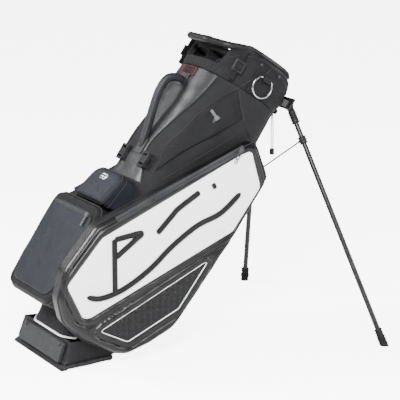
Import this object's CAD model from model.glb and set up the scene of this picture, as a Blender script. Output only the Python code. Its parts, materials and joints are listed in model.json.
"""Looks of a golf stand bag that stands on its two legs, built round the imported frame.

The frame gives every rigid piece its shape and place. The soft pieces are surfaces worked out
here in the bag's own axes, in millimetres: x towards the belly and the legs, y to the bag's
left, z up the trunk.
"""
import json
import logging
import math
from dataclasses import dataclass
from enum import Enum
from typing import Callable, Optional, Sequence

import bpy
import numpy as np
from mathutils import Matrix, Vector


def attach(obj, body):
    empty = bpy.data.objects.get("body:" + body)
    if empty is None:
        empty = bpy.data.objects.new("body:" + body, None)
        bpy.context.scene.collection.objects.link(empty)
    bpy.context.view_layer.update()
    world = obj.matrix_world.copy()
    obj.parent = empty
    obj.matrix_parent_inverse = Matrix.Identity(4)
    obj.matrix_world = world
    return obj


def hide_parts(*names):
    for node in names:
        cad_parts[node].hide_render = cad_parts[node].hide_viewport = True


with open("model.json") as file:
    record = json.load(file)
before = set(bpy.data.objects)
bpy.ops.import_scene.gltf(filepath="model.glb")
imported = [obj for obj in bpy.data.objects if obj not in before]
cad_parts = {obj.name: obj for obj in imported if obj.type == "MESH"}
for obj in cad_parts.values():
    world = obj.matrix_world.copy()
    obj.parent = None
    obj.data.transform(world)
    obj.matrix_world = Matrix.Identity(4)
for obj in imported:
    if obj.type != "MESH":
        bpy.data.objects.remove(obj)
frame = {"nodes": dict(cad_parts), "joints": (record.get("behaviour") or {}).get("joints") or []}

LOG = logging.getLogger("stand_bag")
MM = 0.001
BODY = "bag"
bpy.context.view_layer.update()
GROUND_SHIFT = 126.0        # where the bag's axis meets the ground, behind the ground frame's origin
LEG_HINGE_X = 122.0         # middle of the two leg hinges in the bag's axes
LEG_HINGE_Z = 783.0
Array = np.ndarray


# --- axes ---------------------------------------------------------------------------------------

@dataclass(frozen=True)
class BagAxes:
    """The bag's own axes in the row frame, read from the record's joints."""

    origin: Array
    belly: Array
    up: Array

    @classmethod
    def from_joints(cls, joints: Sequence[dict]) -> "BagAxes":
        """Axes from the sliding wires, which run down the trunk, and the ring's bar.

        Args:
            joints: the record's joints.

        Returns:
            The axes, with the bag's origin where its axis meets the ground.
        """
        by_name = {joint["name"]: joint for joint in joints}
        up = -np.array(by_name["actuator_slide"]["axis"], float)
        belly = -np.array(by_name["d_ring_swing"]["axis"], float)
        left = np.array(by_name["leg_left_fold"]["pos_m"], float)
        right = np.array(by_name["leg_right_fold"]["pos_m"], float)
        middle = (left + right) / 2
        return cls(middle - (LEG_HINGE_X * belly + LEG_HINGE_Z * up) * MM, belly, up)

    def row(self, points: Array) -> Array:
        """Points of the bag's axes, in millimetres, in the row frame in metres."""
        points = np.asarray(points, float)
        left = np.array((0.0, 1.0, 0.0))
        moved = points[..., :1] * self.belly + points[..., 1:2] * left + points[..., 2:3] * self.up
        return self.origin + moved * MM

    def plumb(self, points: Array) -> Array:
        """Points of the upright ground axes, in millimetres, in the row frame in metres."""
        shift = np.array((self.origin[0] - GROUND_SHIFT * MM, 0.0, 0.0))
        return shift + np.asarray(points, float) * MM

    def unrow(self, points: Array) -> Array:
        """Points of the row frame, in metres, in the bag's axes in millimetres."""
        away = (np.asarray(points, float) - self.origin) / MM
        return np.stack([away @ self.belly, away[..., 1], away @ self.up], -1)


AXES = BagAxes.from_joints(frame["joints"])


def hand(side: int) -> str:
    """The word for a side: 1 is the bag's left, -1 its right."""
    return "left" if side > 0 else "right"


def linked(name: str, data: bpy.types.ID) -> bpy.types.Object:
    """A new object with the given data, put in the scene."""
    made = bpy.data.objects.new(name, data)
    bpy.context.scene.collection.objects.link(made)
    return made


# --- curves -------------------------------------------------------------------------------------

def resampled(points: Array, count: int, closed: bool = False) -> Array:
    """Points at equal steps along a polyline.

    Args:
        points: corners of the polyline, (n, k).
        count: how many points to return.
        closed: whether the last corner joins the first.

    Returns:
        (count, k) points; the formula reads each coordinate against the running length.
    """
    points = np.asarray(points, float)
    if closed:
        points = np.vstack([points, points[:1]])
    run = np.concatenate([[0], np.cumsum(np.linalg.norm(np.diff(points, axis=0), axis=1))])
    at = np.linspace(0, run[-1], count, endpoint=not closed)
    return np.stack([np.interp(at, run, column) for column in points.T], 1)


def flowing(points: Sequence[Sequence[float]], count: int, closed: bool = False) -> Array:
    """A smooth curve through the points.

    Each span is the cubic whose end slopes are half the chord between the neighbours.

    Args:
        points: points the curve goes through.
        count: how many points to return, at equal steps.
        closed: whether the curve returns to its start.

    Returns:
        (count, k) points.
    """
    knots = np.asarray(points, float)
    if closed:
        before, after, last = np.roll(knots, 1, 0), np.roll(knots, -1, 0), np.roll(knots, -2, 0)
    else:
        padded = np.vstack([2 * knots[0] - knots[1], knots, 2 * knots[-1] - knots[-2]])
        before, after, last = padded[:-3], padded[2:-1], padded[3:]
        knots = padded[1:-2]
    t = np.linspace(0, 1, 24, endpoint=False)[None, :, None]
    a, b, c, d = before[:, None], knots[:, None], after[:, None], last[:, None]
    span = 0.5 * (2 * b + (c - a) * t + (2 * a - 5 * b + 4 * c - d) * t ** 2
                  + (3 * b - a - 3 * c + d) * t ** 3)
    line = span.reshape(-1, knots.shape[1])
    if not closed:
        line = np.vstack([line, after[-1:]])
    return resampled(line, count, closed)


def outline(corners: Sequence[Sequence[float]], radii: Sequence[float], count: int) -> Array:
    """A closed outline with rounded corners.

    A corner is the quadratic curve between its two tangent points, with the corner as the
    middle control point.

    Args:
        corners: corners in order, (n, 2).
        radii: one radius a corner.
        count: how many points to return.

    Returns:
        (count, 2) points at equal steps.
    """
    corner = np.asarray(corners, float)
    back = np.roll(corner, 1, 0) - corner
    ahead = np.roll(corner, -1, 0) - corner
    back_length = np.linalg.norm(back, axis=1, keepdims=True)
    ahead_length = np.linalg.norm(ahead, axis=1, keepdims=True)
    back, ahead = back / back_length, ahead / ahead_length
    half = np.arccos(np.clip((back * ahead).sum(1, keepdims=True), -1, 1)) / 2
    reach = np.asarray(radii, float)[:, None] / np.tan(half)
    reach = np.minimum(reach, 0.48 * np.minimum(back_length, ahead_length))
    start, end = (corner + back * reach)[:, None], (corner + ahead * reach)[:, None]
    t = np.linspace(0, 1, 12)[None, :, None]
    curve = (1 - t) ** 2 * start + 2 * t * (1 - t) * corner[:, None] + t ** 2 * end
    return resampled(curve.reshape(-1, 2), count, closed=True)


def inside_by(points: Array, edge: Array) -> Array:
    """How far points lie inside a closed outline; negative outside.

    The distance is the least one to any side, and the sign counts crossings of a ray.

    Args:
        points: (m, 2) points.
        edge: (n, 2) outline.

    Returns:
        (m,) distances.
    """
    start, side = edge[None], (np.roll(edge, -1, 0) - edge)[None]
    away = points[:, None] - start
    along = np.clip((away * side).sum(2) / (side ** 2).sum(2), 0, 1)
    near = np.linalg.norm(away - along[..., None] * side, axis=2).min(1)
    low, high = edge[:, 1], np.roll(edge, -1, 0)[:, 1]
    y = points[:, 1:2]
    spans = (low[None] > y) != (high[None] > y)
    rise = np.where(high == low, 1.0, high - low)[None]
    cross = start[..., 0] + side[..., 0] * (y - low[None]) / rise
    inner = (spans & (points[:, :1] < cross)).sum(1) % 2 == 1
    return np.where(inner, near, -near)


def eased(value: Array) -> Array:
    """A smooth step: 0 below 0, 1 above 1, three squares less two cubes between."""
    value = np.clip(value, 0, 1)
    return value * value * (3 - 2 * value)


def unit(vectors: Array) -> Array:
    """Vectors made one long."""
    return vectors / np.maximum(np.linalg.norm(vectors, axis=-1, keepdims=True), 1e-9)


# --- solids -------------------------------------------------------------------------------------

@dataclass
class Shape:
    """A closed mesh in the row frame: corners, faces and the flat map of each face's corners."""

    verts: Array
    quads: Array
    tris: Array
    quad_map: Array
    tri_map: Array

    def outward(self) -> "Shape":
        """The same shape with its faces turned out, judged by the sign of its volume."""
        def volume(three: Array) -> float:
            a, b, c = (self.verts[three[:, i]] - self.verts.mean(0) for i in range(3))
            return float((a * np.cross(b, c)).sum())
        total = volume(self.quads[:, :3]) + volume(self.quads[:, [0, 2, 3]])
        if len(self.tris):
            total += volume(self.tris)
        if total >= 0:
            return self
        return Shape(self.verts, self.quads[:, ::-1], self.tris[:, ::-1],
                     self.quad_map[:, ::-1], self.tri_map[:, ::-1])

    def piece(self, name: str, sharp: float = 40.0) -> bpy.types.Object:
        """A Blender mesh object of the shape, at the origin.

        Args:
            name: the piece's name.
            sharp: edges sharper than this many degrees stay crisp.

        Returns:
            The object, linked to the scene.
        """
        mesh = bpy.data.meshes.new(name)
        mesh.from_pydata(self.verts.tolist(), [], self.quads.tolist() + self.tris.tolist())
        flat = mesh.uv_layers.new(name="Flat")
        corners = np.concatenate([self.quad_map.reshape(-1, 2), self.tri_map.reshape(-1, 2)])
        flat.data.foreach_set("uv", corners.astype(np.float32).ravel())
        mesh.polygons.foreach_set("use_smooth", np.ones(len(mesh.polygons), bool))
        mesh.set_sharp_from_angle(angle=math.radians(sharp))
        mesh.update()
        made = linked(name, mesh)
        return made


def joined(shapes: Sequence[Shape]) -> Shape:
    """Several shapes as one, each keeping its own corners."""
    starts = np.cumsum([0] + [len(shape.verts) for shape in shapes[:-1]])
    return Shape(np.vstack([s.verts for s in shapes]),
                 np.vstack([s.quads + n for s, n in zip(shapes, starts)]),
                 np.vstack([s.tris + n for s, n in zip(shapes, starts)]),
                 np.vstack([s.quad_map for s in shapes]), np.vstack([s.tri_map for s in shapes]))


def woven_grid(grid: Array, loop_rows: bool = False, loop_cols: bool = True,
               ends: bool = True) -> Shape:
    """A closed shape from a grid of points in millimetres of the bag's axes.

    Args:
        grid: (rows, columns, 3) points.
        loop_rows: whether the last row joins the first.
        loop_cols: whether the last column joins the first.
        ends: whether the first and last rows are closed by a fan to their middle.

    Returns:
        The shape, with its flat map in metres along both ways of the grid.
    """
    grid = AXES.row(grid)
    rows, cols = grid.shape[:2]
    r, c = np.meshgrid(np.arange(rows if loop_rows else rows - 1),
                       np.arange(cols if loop_cols else cols - 1), indexing="ij")
    down, right = (r + 1) % rows, (c + 1) % cols
    quads = np.stack([r * cols + c, r * cols + right, down * cols + right, down * cols + c], -1)
    wide = np.linalg.norm(np.roll(grid, -1, 1) - grid, axis=2).mean(0)
    tall = np.linalg.norm(np.roll(grid, -1, 0) - grid, axis=2).mean(1)
    u = np.concatenate([[0], np.cumsum(wide)])
    v = np.concatenate([[0], np.cumsum(tall)])
    quad_map = np.stack([np.stack([u[c], v[r]], -1), np.stack([u[c + 1], v[r]], -1),
                         np.stack([u[c + 1], v[r + 1]], -1), np.stack([u[c], v[r + 1]], -1)], -2)
    verts = grid.reshape(-1, 3)
    tris, tri_map = np.zeros((0, 3), int), np.zeros((0, 3, 2))
    if ends and not loop_rows:
        k = np.arange(cols)
        n = (k + 1) % cols
        poles = np.stack([grid[0].mean(0), grid[-1].mean(0)])
        first, last = len(verts), len(verts) + 1
        base = (rows - 1) * cols
        tris = np.vstack([np.stack([n, k, np.full(cols, first)], 1),
                          np.stack([base + k, base + n, np.full(cols, last)], 1)])
        middle = np.full(cols, u[-1] / 2)
        tri_map = np.concatenate([
            np.stack([np.stack([u[k + 1], 0 * middle], 1), np.stack([u[k], 0 * middle], 1),
                      np.stack([middle, 0 * middle - 0.002], 1)], 1),
            np.stack([np.stack([u[k], 0 * middle + v[rows - 1]], 1),
                      np.stack([u[k + 1], 0 * middle + v[rows - 1]], 1),
                      np.stack([middle, 0 * middle + v[rows - 1] + 0.002], 1)], 1)])
        verts = np.vstack([verts, poles])
    return Shape(verts, quads.reshape(-1, 4), tris, quad_map.reshape(-1, 4, 2), tri_map).outward()


def carried(path: Array, profile: Array, facing: Array, closed: bool = False,
            swell: Optional[Array] = None) -> Shape:
    """A profile carried along a path.

    At each point the profile's first axis is the path's direction crossed with the facing
    direction, and its second axis is square to both.

    Args:
        path: (n, 3) points.
        profile: (k, 2) closed outline round the path.
        facing: one direction, or one a point, that the profile's second axis leans to.
        closed: whether the path returns to its start.
        swell: a factor for the profile at each point.

    Returns:
        The closed shape.
    """
    if closed:
        way = np.roll(path, -1, 0) - np.roll(path, 1, 0)
    else:
        way = np.gradient(path, axis=0)
    way = unit(way)
    facing = np.broadcast_to(np.asarray(facing, float), path.shape)
    side = unit(np.cross(way, facing))
    out = np.cross(side, way)
    size = np.ones(len(path)) if swell is None else swell
    offset = (side[:, None] * profile[None, :, :1] + out[:, None] * profile[None, :, 1:])
    grid = path[:, None] + offset * size[:, None, None]
    return woven_grid(grid, loop_rows=closed, ends=not closed)


def turns(count: int) -> Array:
    """Angles at equal steps round a full turn."""
    return np.linspace(0, 2 * math.pi, count, endpoint=False)


def hump(share: Array) -> Array:
    """Half a sine: nothing at 0 and at 1 and beyond them, one in the middle."""
    return np.sin(math.pi * np.clip(share, 0, 1))


def circle(radius: float, count: int = 10, flat: float = 1.0) -> Array:
    """A ring of points, flattened along its second axis by the given factor."""
    turn = turns(count)
    return np.stack([radius * np.cos(turn), radius * flat * np.sin(turn)], 1)


def pad_profile(half: float, low: float, high: float, count: int = 14, power: float = 3.0) -> Array:
    """A flat strap's section: a rounded box from the equation |x|^p + |y|^p = 1."""
    turn = turns(count)
    x = np.sign(np.cos(turn)) * np.abs(np.cos(turn)) ** (2 / power) * half
    y = np.sign(np.sin(turn)) * np.abs(np.sin(turn)) ** (2 / power) * (high - low) / 2
    return np.stack([x, y + (high + low) / 2], 1)


def cushion(edge: Array, place: Callable[[Array, Array], Array], base: float, top: float,
            rounding: float, relief: Optional[Callable[[Array, Array], Array]] = None,
            rings: int = 40) -> Shape:
    """A closed padded form over an outline.

    Its face stands at the top height, less the quarter circle that rounds the edge, plus a
    relief; its wall goes straight down to the base, and rings shrink to the middle.

    Args:
        edge: (n, 2) outline of the face.
        place: turns flat points and heights into points of the bag's axes.
        base: height of the back.
        top: height of the face.
        rounding: radius of the rounded edge.
        relief: extra height from flat points and their distance inside the edge.
        rings: rings between the edge and the middle of the face.

    Returns:
        The closed shape.
    """
    middle = edge.mean(0)
    shrink = 1 - np.linspace(0, 1, rings, endpoint=False) ** 1.15
    flat = middle + shrink[:, None, None] * (edge - middle)[None]
    coarse = edge[:: max(1, len(edge) // 110)]
    deep = inside_by(flat.reshape(-1, 2), coarse).reshape(flat.shape[:2])
    deep[0] = 0.0
    deep = np.maximum(deep, 0.0)
    drop = rounding - np.sqrt(np.maximum(rounding ** 2 - (rounding - np.minimum(deep, rounding)) ** 2, 0))
    height = top - drop
    if relief is not None:
        height = height + relief(flat.reshape(-1, 2), deep.ravel()).reshape(height.shape)
    wall = np.linspace(0, 1, 5)[:-1, None]
    wall_height = base + (height[0][None] - base) * wall
    wall_flat = np.broadcast_to(edge, (len(wall), *edge.shape))
    back = middle + np.array([0.02, 0.5])[:, None, None] * (edge - middle)[None]
    flats = np.concatenate([back, wall_flat, flat])
    heights = np.concatenate([np.full((2, len(edge)), base), wall_height, height])
    return woven_grid(place(flats, heights))


def edged(place: Callable[[Array, Array], Array], edge: Array, height: float, radius: float,
          facing: Sequence[float], corners: int = 8) -> Shape:
    """Round piping along an outline.

    Args:
        place: turns flat points and heights into points of the bag's axes.
        edge: (n, 2) outline that it follows.
        height: height of its middle.
        radius: radius of its section.
        facing: direction that the outline's face looks.
        corners: corners of its section.

    Returns:
        The closed ring.
    """
    return carried(place(edge, np.full(len(edge), height)), circle(radius, corners), facing, closed=True)


def scattered(unit_shape: Shape, places: Array, side: Array, out: Array, way: Array) -> Shape:
    """Copies of a small shape, each turned to its own three directions.

    Args:
        unit_shape: shape whose corners are millimetres along side, way and out.
        places: (n, 3) points of the bag's axes.
        side: (n, 3) first directions.
        out: (n, 3) third directions.
        way: (n, 3) second directions.

    Returns:
        One shape with all the copies.
    """
    v = unit_shape.verts
    moved = (places[:, None] + v[None, :, :1] * side[:, None] + v[None, :, 1:2] * way[:, None]
             + v[None, :, 2:] * out[:, None])
    count, size = len(places), len(v)
    shift = (np.arange(count) * size)[:, None, None]
    shape = Shape(AXES.row(moved).reshape(-1, 3), (unit_shape.quads[None] + shift).reshape(-1, 4),
                  (unit_shape.tris[None] + shift).reshape(-1, 3),
                  np.tile(unit_shape.quad_map, (count, 1, 1)), np.tile(unit_shape.tri_map, (count, 1, 1)))
    return shape.outward()


def bead(width: float, length: float, height: float) -> Shape:
    """A small six-sided grain, tapered at both ends, for a stitch or a zip tooth."""
    turn = turns(6)
    rows = np.array([(-0.5, 0.45), (-0.3, 1.0), (0.3, 1.0), (0.5, 0.45)])
    ring = np.stack([np.cos(turn) * width / 2, 0 * turn, np.sin(turn) * height / 2], 1)
    verts = ring[None] * rows[:, 1][:, None, None] * np.array((1, 0, 1.0))
    verts[..., 1] = rows[:, :1] * length
    r, c = np.meshgrid(np.arange(3), np.arange(6), indexing="ij")
    n = (c + 1) % 6
    quads = np.stack([r * 6 + c, r * 6 + n, (r + 1) * 6 + n, (r + 1) * 6 + c], -1).reshape(-1, 4)
    caps = np.array([(0, 1, 2), (0, 2, 3), (0, 3, 5), (3, 4, 5)])
    tris = np.vstack([caps[:, ::-1], caps + 18])
    return Shape(verts.reshape(-1, 3), quads, tris, np.zeros((len(quads), 4, 2)),
                 np.zeros((len(tris), 3, 2)))


def stitched(path: Array, facing: Array, pitch: float = 3.4, length: float = 2.4,
             thick: float = 0.8, closed: bool = False) -> Shape:
    """A row of thread stitches along a path.

    Args:
        path: (n, 3) points of the seam.
        facing: direction the stitches face, one or one a point.
        pitch: distance from one stitch to the next.
        length: length of a stitch.
        thick: thickness of the thread.
        closed: whether the seam returns to its start.

    Returns:
        All the stitches as one shape.
    """
    whole = np.vstack([path, path[:1]]) if closed else path
    total = np.linalg.norm(np.diff(whole, axis=0), axis=1).sum()
    count = max(3, int(total / pitch))
    facing = np.broadcast_to(np.asarray(facing, float), path.shape)
    both = resampled(np.hstack([path, facing]), count, closed)
    # the running length of the joined columns is that of the path, as the facing hardly turns
    places, out = both[:, :3], unit(both[:, 3:])
    way = unit(np.gradient(places, axis=0))
    side = unit(np.cross(way, out))
    return scattered(bead(thick, length, thick * 0.8), places, side, np.cross(side, way), way)


# --- finishes -----------------------------------------------------------------------------------

class Surface(Enum):
    """The kinds of fine relief that the finishes use."""

    TWILL = "twill"
    GRAIN = "grain"
    RIB = "rib"
    BRAID = "braid"
    BRUSHED = "brushed"


class Nodes:
    """Places nodes in a tree and joins them, with short calls."""

    def __init__(self, tree: bpy.types.NodeTree) -> None:
        """Args: tree: the tree to fill."""
        self.tree = tree

    def fed(self, node: bpy.types.Node, values: dict) -> bpy.types.Node:
        """A node after each of its named or numbered inputs is set, or joined to a source."""
        for key, value in values.items():
            if isinstance(value, bpy.types.NodeSocket):
                self.tree.links.new(value, node.inputs[key])
            else:
                node.inputs[key].default_value = value
        return node

    def add(self, kind: str, values: Optional[dict] = None, **settings: object) -> bpy.types.Node:
        """A new node.

        Args:
            kind: the node's type without its prefix.
            values: value or source socket of each named or numbered input.
            settings: the node's own properties.

        Returns:
            The node.
        """
        node = self.tree.nodes.new("ShaderNode" + kind)
        for key, value in settings.items():
            setattr(node, key, value)
        return self.fed(node, values or {})

    def sum(self, operation: str, a: object, b: object = 0.0, clamp: bool = False) -> bpy.types.NodeSocket:
        """The result of a sum of two values."""
        return self.add("Math", {0: a, 1: b}, operation=operation, use_clamp=clamp).outputs[0]

    def wave(self, vector: object, direction: Sequence[float], pitch: object) -> bpy.types.NodeSocket:
        """Sine of the distance along a direction, one wave a pitch."""
        along = self.add("VectorMath", {0: vector, 1: direction}, operation="DOT_PRODUCT").outputs["Value"]
        turns = self.sum("DIVIDE", along, pitch)
        return self.sum("SINE", self.sum("MULTIPLY", turns, 2 * math.pi))

    def blend(self, factor: object, a: object, b: object) -> bpy.types.NodeSocket:
        """A colour between two colours."""
        return self.add("Mix", {0: factor, 6: a, 7: b}, data_type="RGBA").outputs[2]

    def between(self, value: object, low: float, high: float, to_low: float = 0.0,
                to_high: float = 1.0) -> bpy.types.NodeSocket:
        """A value carried from one range to another, held at its ends."""
        return self.add("MapRange", {0: value, 1: low, 2: high, 3: to_low, 4: to_high}).outputs[0]

    def group(self, tree: bpy.types.NodeTree, values: dict) -> bpy.types.Node:
        """A node of a shared group with its own values."""
        node = self.tree.nodes.new("ShaderNodeGroup")
        node.node_tree = tree
        return self.fed(node, values)


def new_group(name: str, label: str, default: float, outputs: Sequence[str]) -> tuple:
    """An empty shader node group.

    Args:
        name: the group's name.
        label: name of the value that it takes beside the vector.
        default: that value where none is given.
        outputs: names of the value outputs.

    Returns:
        The group, its Nodes, its input node and its output node.
    """
    tree = bpy.data.node_groups.new(name, "ShaderNodeTree")
    tree.interface.new_socket("Vector", in_out="INPUT", socket_type="NodeSocketVector")
    value = tree.interface.new_socket(label, in_out="INPUT", socket_type="NodeSocketFloat")
    value.default_value = default
    for output in outputs:
        tree.interface.new_socket(output, in_out="OUTPUT", socket_type="NodeSocketFloat")
    return tree, Nodes(tree), tree.nodes.new("NodeGroupInput"), tree.nodes.new("NodeGroupOutput")


class Effects:
    """The shared node groups: fine relief, cloudy colour, edge wear and dust."""

    def __init__(self) -> None:
        """Builds every group once."""
        self.relief = {kind: self.relief_group(kind) for kind in Surface}
        self.cloud = self.cloud_group()
        self.wear = self.wear_group()
        self.dust = self.dust_group()

    @staticmethod
    def relief_group(kind: Surface) -> bpy.types.NodeTree:
        """Fine relief of one kind: a height and a mask of its low places.

        Twill and braid are the greater of two crossing waves, rib is one wave, grain is the
        distance to scattered cell middles, and brushing is noise drawn out along one way.
        """
        tree, nodes, source, sink = new_group("relief_" + kind.value, "Pitch", 0.002, ["Height", "Mask"])
        vector, pitch = source.outputs["Vector"], source.outputs["Pitch"]
        scale = nodes.sum("DIVIDE", 1.0, pitch)
        if kind is Surface.TWILL:
            one = nodes.wave(vector, (1.0, 0.75, 1.0), pitch)
            two = nodes.wave(vector, (-1.9, 1.3, 2.1), pitch)
            height = nodes.sum("ADD", nodes.sum("MULTIPLY", one, 0.62), nodes.sum("MULTIPLY", two, 0.38))
        elif kind is Surface.RIB:
            height = nodes.sum("ADD", nodes.wave(vector, (0, 1, 0), pitch),
                               nodes.sum("MULTIPLY", nodes.wave(vector, (1, 0, 0), pitch), 0.35))
        elif kind is Surface.BRAID:
            one = nodes.wave(vector, (1.0, 1.0, 0.3), pitch)
            two = nodes.wave(vector, (1.0, -1.0, 0.3), pitch)
            height = nodes.sum("MAXIMUM", one, two)
        elif kind is Surface.GRAIN:
            cell = nodes.add("TexVoronoi", {"Vector": vector, "Scale": scale}, feature="SMOOTH_F1")
            height = nodes.between(cell.outputs["Distance"], 0.0, 0.7, 1.0, -1.0)
        else:
            drawn = nodes.add("VectorMath", {0: vector, 1: (1.0, 1.0, 0.04)}, operation="MULTIPLY")
            noise = nodes.add("TexNoise", {"Vector": drawn.outputs[0], "Scale": scale, "Detail": 2.0})
            height = nodes.between(noise.outputs[0], 0.3, 0.7, -1.0, 1.0)
        nodes.tree.links.new(height, sink.inputs["Height"])
        nodes.tree.links.new(nodes.between(height, 0.3, -0.9), sink.inputs["Mask"])
        return tree

    @staticmethod
    def cloud_group() -> bpy.types.NodeTree:
        """Slow change of tone: noise of the stated size, with a finer one over it."""
        tree, nodes, source, sink = new_group("cloudy_tone", "Size", 0.05, ["Mask"])
        scale = nodes.sum("DIVIDE", 1.0, source.outputs["Size"])
        noise = nodes.add("TexNoise", {"Vector": source.outputs["Vector"], "Scale": scale, "Detail": 4.0,
                                       "Roughness": 0.6})
        nodes.tree.links.new(nodes.between(noise.outputs[0], 0.3, 0.7), sink.inputs["Mask"])
        return tree

    @staticmethod
    def wear_group() -> bpy.types.NodeTree:
        """Wear along edges: how sharply the surface turns outwards, broken up by noise."""
        tree, nodes, source, sink = new_group("edge_wear", "Amount", 0.3, ["Mask"])
        edge = nodes.between(nodes.add("NewGeometry").outputs["Pointiness"], 0.51, 0.6)
        noise = nodes.add("TexNoise", {"Vector": source.outputs["Vector"], "Scale": 160.0, "Detail": 3.0})
        broken = nodes.sum("MULTIPLY", edge, nodes.between(noise.outputs[0], 0.35, 0.62))
        nodes.tree.links.new(nodes.sum("MULTIPLY", broken, source.outputs["Amount"], clamp=True),
                             sink.inputs["Mask"])
        return tree

    @staticmethod
    def dust_group() -> bpy.types.NodeTree:
        """Dust on what faces up: the normal's height times noise."""
        tree, nodes, source, sink = new_group("settled_dust", "Amount", 0.05, ["Mask"])
        up = nodes.add("SeparateXYZ", {0: nodes.add("NewGeometry").outputs["Normal"]}).outputs["Z"]
        noise = nodes.add("TexNoise", {"Vector": source.outputs["Vector"], "Scale": 35.0, "Detail": 5.0})
        lying = nodes.sum("MULTIPLY", nodes.between(up, 0.1, 1.0), nodes.between(noise.outputs[0], 0.4, 0.75))
        nodes.tree.links.new(nodes.sum("MULTIPLY", lying, source.outputs["Amount"], clamp=True),
                             sink.inputs["Mask"])
        return tree


EFFECTS = Effects()


def rgb(red: float, green: float, blue: float) -> tuple:
    """A colour with full cover."""
    return (red, green, blue, 1.0)


@dataclass(frozen=True)
class Finish:
    """One material: its colours, gloss and fine relief. Lengths are metres."""

    name: str
    base: tuple
    tone: tuple
    roughness: float = 0.5
    spread: float = 0.08
    metallic: float = 0.0
    coat: float = 0.0
    specular: float = 0.14
    surface: Surface = Surface.GRAIN
    pitch: float = 0.0016
    depth: float = 0.00015
    shade: float = 0.35
    cloud: float = 0.05
    crease: float = 0.0
    wear: float = 0.25
    worn: tuple = rgb(0.03, 0.03, 0.032)
    dust: float = 0.012
    along: bool = False

    def material(self) -> bpy.types.Material:
        """The Blender material, made the first time it is asked for."""
        made = bpy.data.materials.get(self.name + "_finish")
        if made is not None:
            return made
        made = bpy.data.materials.new(self.name + "_finish")
        made.use_nodes = True
        made.node_tree.nodes.clear()
        nodes = Nodes(made.node_tree)
        place = nodes.add("TexCoord").outputs["Object"]
        flow = nodes.add("UVMap", uv_map="Flat").outputs[0] if self.along else place
        relief = nodes.group(EFFECTS.relief[self.surface], {"Vector": flow, "Pitch": self.pitch})
        cloud = nodes.group(EFFECTS.cloud, {"Vector": place, "Size": self.cloud}).outputs["Mask"]
        wear = nodes.group(EFFECTS.wear, {"Vector": place, "Amount": self.wear}).outputs["Mask"]
        dust = nodes.group(EFFECTS.dust, {"Vector": place, "Amount": self.dust}).outputs["Mask"]
        colour = nodes.blend(cloud, self.base, self.tone)
        low = nodes.sum("MULTIPLY", relief.outputs["Mask"], self.shade)
        colour = nodes.blend(low, colour, tuple(c * 0.35 for c in self.base[:3]) + (1.0,))
        colour = nodes.blend(wear, colour, self.worn)
        colour = nodes.blend(dust, colour, rgb(0.16, 0.155, 0.145))
        rough = nodes.between(cloud, 0, 1, self.roughness - self.spread, self.roughness + self.spread)
        rough = nodes.sum("ADD", rough, nodes.sum("MULTIPLY", dust, 0.4), clamp=True)
        bump = nodes.add("Bump", {"Height": relief.outputs["Height"], "Distance": self.depth,
                                  "Strength": 0.9})
        normal = bump.outputs[0]
        if self.crease:
            noise = nodes.add("TexNoise", {"Vector": place, "Scale": 22.0, "Detail": 2.5})
            wide = nodes.add("Bump", {"Height": noise.outputs[0], "Distance": self.crease, "Strength": 1.0,
                                      "Normal": normal})
            normal = wide.outputs[0]
        shader = nodes.add("BsdfPrincipled", {
            "Base Color": colour, "Roughness": rough, "Normal": normal, "Metallic": self.metallic,
            "Coat Weight": self.coat, "Coat Roughness": 0.12,
            "Specular IOR Level": self.specular})
        nodes.add("OutputMaterial", {"Surface": shader.outputs[0]})
        return made


BLACK, SOOT = rgb(0.014, 0.014, 0.016), rgb(0.022, 0.022, 0.025)
TRUNK_CLOTH = Finish("trunk_fabric", rgb(0.007, 0.007, 0.008), rgb(0.0105, 0.0105, 0.0119), 0.62,
                     surface=Surface.TWILL, pitch=0.0021, depth=0.00022, crease=0.0012, wear=0.12)
POCKET_CLOTH = Finish("pocket_fabric", rgb(0.0039, 0.0039, 0.0045), rgb(0.006, 0.006, 0.0069), 0.55,
                      surface=Surface.TWILL, pitch=0.0018, depth=0.00018, crease=0.001, wear=0.1)
SATIN_FRAME = Finish("padded_frame", rgb(0.0027, 0.0027, 0.003), rgb(0.0045, 0.0045, 0.005), 0.36,
                     coat=0.03, specular=0.3, pitch=0.0011, depth=0.00008, crease=0.0012, wear=0.1)
SMOOTH_CLOTH = Finish("smooth_cloth", rgb(0.009, 0.0105, 0.0145), rgb(0.012, 0.0135, 0.0185), 0.5,
                      surface=Surface.TWILL, pitch=0.0009, depth=0.00008, crease=0.0008, wear=0.05)
SPINE_LEATHER = Finish("coated_leather", rgb(0.0075, 0.008, 0.0095), rgb(0.011, 0.0115, 0.013), 0.38,
                       coat=0.03, specular=0.3, pitch=0.0013, depth=0.00016, cloud=0.09, crease=0.0015,
                       wear=0.3)
WHITE_GLOSS = Finish("gloss_panel", rgb(0.83, 0.84, 0.86), rgb(0.88, 0.88, 0.89), 0.27, 0.04, coat=0.35,
                     pitch=0.0012, depth=0.00003, shade=0.04, wear=0.05, worn=rgb(0.7, 0.7, 0.7),
                     dust=0.0)
QUILT_CLOTH = Finish("quilt_fabric", rgb(0.0035, 0.0035, 0.004), rgb(0.006, 0.006, 0.007), 0.42,
                     specular=0.22, pitch=0.0012, depth=0.00012, wear=0.2)
ROPE = Finish("emblem_cord", rgb(0.003, 0.003, 0.0033), rgb(0.0051, 0.0051, 0.0054), 0.38, specular=0.22,
              surface=Surface.RIB, pitch=0.0012, depth=0.00025, along=True, wear=0.0)
PIPING = Finish("piping", rgb(0.78, 0.79, 0.81), rgb(0.86, 0.86, 0.87), 0.4, surface=Surface.RIB,
                pitch=0.0008, depth=0.0001, shade=0.1, wear=0.0, along=True, dust=0.1)
BLACK_PIPING = Finish("black_piping", BLACK, SOOT, 0.42, surface=Surface.RIB, pitch=0.0009, depth=0.0001,
                      along=True, wear=0.0)
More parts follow.
